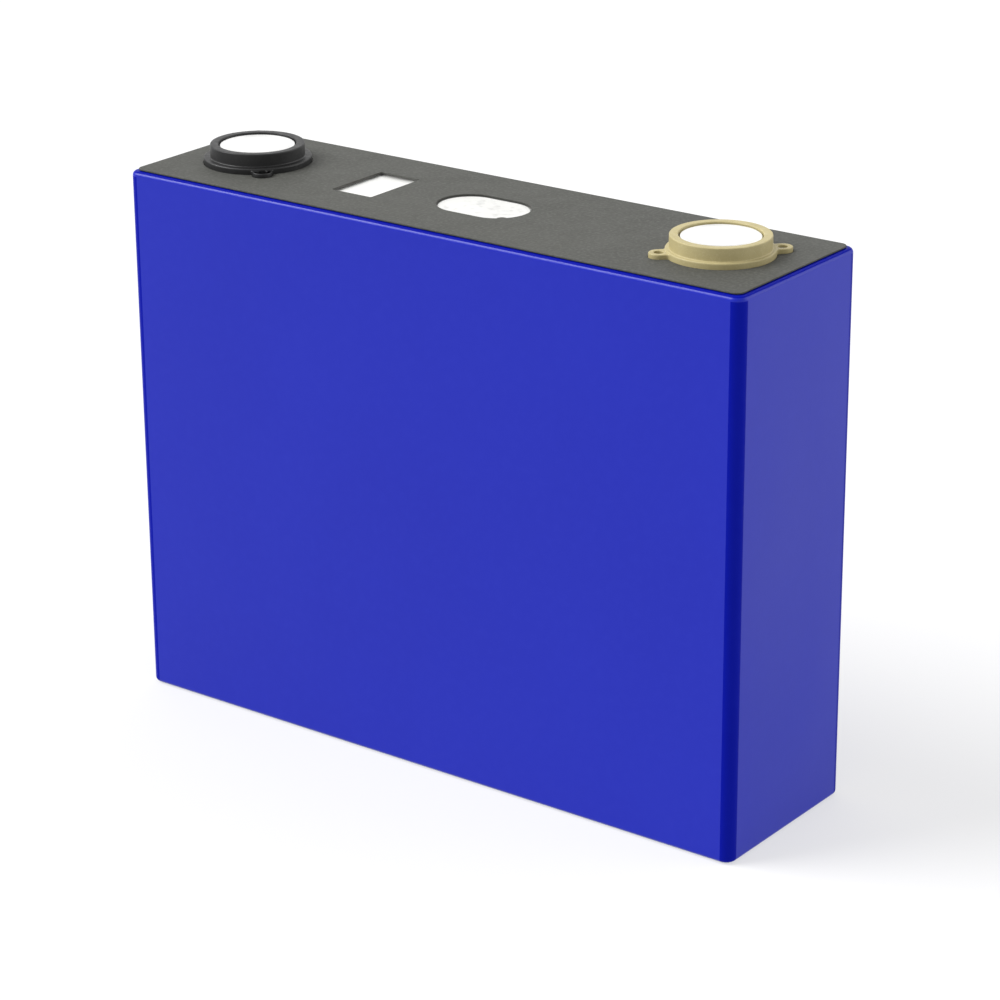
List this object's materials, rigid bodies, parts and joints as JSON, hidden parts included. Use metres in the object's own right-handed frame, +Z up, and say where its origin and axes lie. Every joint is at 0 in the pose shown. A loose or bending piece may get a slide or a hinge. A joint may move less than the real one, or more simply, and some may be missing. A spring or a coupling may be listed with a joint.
{
  "type": "prismatic battery cell",
  "caption": "Film-wrapped prismatic battery cell: flat rectangular can, grey top sheet with vent and code windows, round weld-on terminals with a black and a tan insulating collar.",
  "frame": {"origin": "middle of the underside, on the surface that the cell stands on", "axes": "+Z up through the terminals, +X along the cell's length from the positive to the negative terminal, +Y through its thickness towards the back"},
  "size_m": [0.173, 0.047, 0.1375],
  "materials": {
    "clear_film": "satin",
    "blue_film": "satin",
    "grey_sheet": "matte",
    "adhesive": "matte",
    "can_aluminium": "satin",
    "cover_aluminium": "satin",
    "vent_foil": "satin",
    "frosted_film": "satin",
    "terminal_face": "satin",
    "black_collar": "satin",
    "tan_collar": "satin",
    "positive_metal": "satin",
    "copper": "satin",
    "aluminium_foil": "satin",
    "copper_foil": "satin",
    "seal": "matte",
    "rubber": "matte",
    "lower_plastic": "satin",
    "anode_coating": "matte",
    "cathode_coating": "matte",
    "separator": "matte",
    "blue_tape": "satin",
    "pouch_film": "satin"
  },
  "bodies": {
    "root": {"bottom_film": "clear_film", "wrap_film": "blue_film", "top_sheet": "grey_sheet", "sheet_adhesive": "adhesive", "can": "can_aluminium", "cover_plate": "cover_aluminium", "vent_membrane": "vent_foil", "vent_cover_film": "frosted_film", "vent_guard": "lower_plastic", "fill_plug": "rubber", "fill_cap": "cover_aluminium", "positive_terminal_pad": "terminal_face", "negative_terminal_pad": "terminal_face", "positive_upper_insulator": "black_collar", "negative_upper_insulator": "tan_collar", "positive_terminal_post": "positive_metal", "negative_terminal_post": "copper", "positive_seal_ring": "seal", "negative_seal_ring": "seal", "positive_lower_insulator": "lower_plastic", "negative_lower_insulator": "lower_plastic", "positive_current_collector": "positive_metal", "negative_current_collector": "copper", "positive_tabs_front": "aluminium_foil", "positive_tabs_back": "aluminium_foil", "negative_tabs_front": "copper_foil", "negative_tabs_back": "copper_foil", "positive_weld_tape": "blue_tape", "negative_weld_tape": "blue_tape", "front_anode": "anode_coating", "back_anode": "anode_coating", "front_cathode": "cathode_coating", "back_cathode": "cathode_coating", "front_inner_separator": "separator", "back_inner_separator": "separator", "front_outer_separator": "separator", "back_outer_separator": "separator", "front_roll_tape": "blue_tape", "back_roll_tape": "blue_tape", "insulating_pouch": "pouch_film", "bottom_pad": "lower_plastic"}
  },
  "joints": []
}
